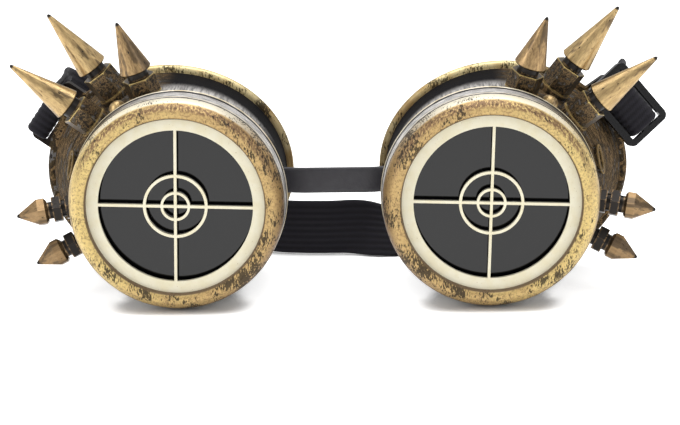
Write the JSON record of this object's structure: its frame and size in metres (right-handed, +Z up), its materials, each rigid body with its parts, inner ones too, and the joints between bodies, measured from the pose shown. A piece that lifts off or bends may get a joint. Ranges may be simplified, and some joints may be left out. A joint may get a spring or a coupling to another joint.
{
  "type": "steampunk goggles",
  "caption": "Costume goggles: screw-ring eyecups with reticle plates over dark lenses, temple spikes and studs, a flat bridge strap and an elastic headband with a slider.",
  "frame": {"origin": "centre of the bridge strap between the eyecups", "axes": "+X to the viewer's right across the eyecups, the lenses face -Y, +Z up"},
  "size_m": [0.1789, 0.0788, 0.0778],
  "materials": {
    "antique_gold": "satin gold coat rubbed with dark patina",
    "cushion": "soft matte",
    "ivory_plate": "matte",
    "gasket_rubber": "matte",
    "dark_lens": "gloss",
    "steel": "plain",
    "aged_brass": "aged",
    "dark_bronze": "dark patina",
    "bridge_vinyl": "smooth matte",
    "elastic": "ribbed elastic weave",
    "slider_plastic": "gloss"
  },
  "bodies": {
    "bridge": {"bridge_strap": "bridge_vinyl", "headband": "elastic"},
    "left_cup": {"left_eyecup": "antique_gold", "left_face_cushion": "cushion", "left_seat_gasket": "gasket_rubber", "left_bridge_pin": "steel", "left_spike_upper": "aged_brass", "left_spike_middle": "aged_brass", "left_spike_lower": "aged_brass", "left_standoffs": "dark_bronze", "left_spike_screws": "steel", "left_stud_upper": "aged_brass", "left_stud_lower": "aged_brass", "left_stud_screws": "steel", "left_rivet": "aged_brass"},
    "left_lens_stack": {"left_reticle_plate": "ivory_plate", "left_lens_spacer": "gasket_rubber", "left_lens": "dark_lens"},
    "left_ring": {"left_bezel": "antique_gold"},
    "right_cup": {"right_eyecup": "antique_gold", "right_face_cushion": "cushion", "right_seat_gasket": "gasket_rubber", "right_bridge_pin": "steel", "right_spike_upper": "aged_brass", "right_spike_middle": "aged_brass", "right_spike_lower": "aged_brass", "right_standoffs": "dark_bronze", "right_spike_screws": "steel", "right_stud_upper": "aged_brass", "right_stud_lower": "aged_brass", "right_stud_screws": "steel", "right_rivet": "aged_brass"},
    "right_lens_stack": {"right_reticle_plate": "ivory_plate", "right_lens_spacer": "gasket_rubber", "right_lens": "dark_lens"},
    "right_ring": {"right_bezel": "antique_gold"},
    "slider": {"strap_slider": "slider_plastic"}
  },
  "joints": [
    {"name": "left_cup_swing", "type": "hinge", "parent": "bridge", "child": "left_cup", "pos_m": [-0.0164, 0, 0], "axis": [0, 0, -1], "range_deg": [-10, 15], "deforming": ["headband"]},
    {"name": "left_lens_slide", "type": "slide", "parent": "left_cup", "child": "left_lens_stack", "axis": [0, -1, 0], "range_m": [0, 0.00376]},
    {"name": "left_bezel_turn", "type": "hinge", "parent": "left_lens_stack", "child": "left_ring", "pos_m": [-0.0417, -0.024, -0.001], "axis": [0, -1, 0], "range_deg": [0, 450]},
    {"name": "right_cup_swing", "type": "hinge", "parent": "bridge", "child": "right_cup", "pos_m": [0.0164, 0, 0], "axis": [0, 0, 1], "range_deg": [-10, 15], "deforming": ["headband"]},
    {"name": "right_lens_slide", "type": "slide", "parent": "right_cup", "child": "right_lens_stack", "axis": [0, -1, 0], "range_m": [0, 0.00376]},
    {"name": "right_bezel_turn", "type": "hinge", "parent": "right_lens_stack", "child": "right_ring", "pos_m": [0.0417, -0.024, -0.001], "axis": [0, -1, 0], "range_deg": [0, 450]},
    {"name": "slider_slide", "type": "slide", "parent": "right_cup", "child": "slider", "axis": [0.7368, 0.2588, 0.6246], "range_m": [0, 0.015], "deforming": ["headband"]}
  ],
  "couplings": [
    {"joint": "left_lens_slide", "follows": "left_bezel_turn", "m_per_rad": 0.00047746},
    {"joint": "right_lens_slide", "follows": "right_bezel_turn", "m_per_rad": 0.00047746}
  ]
}
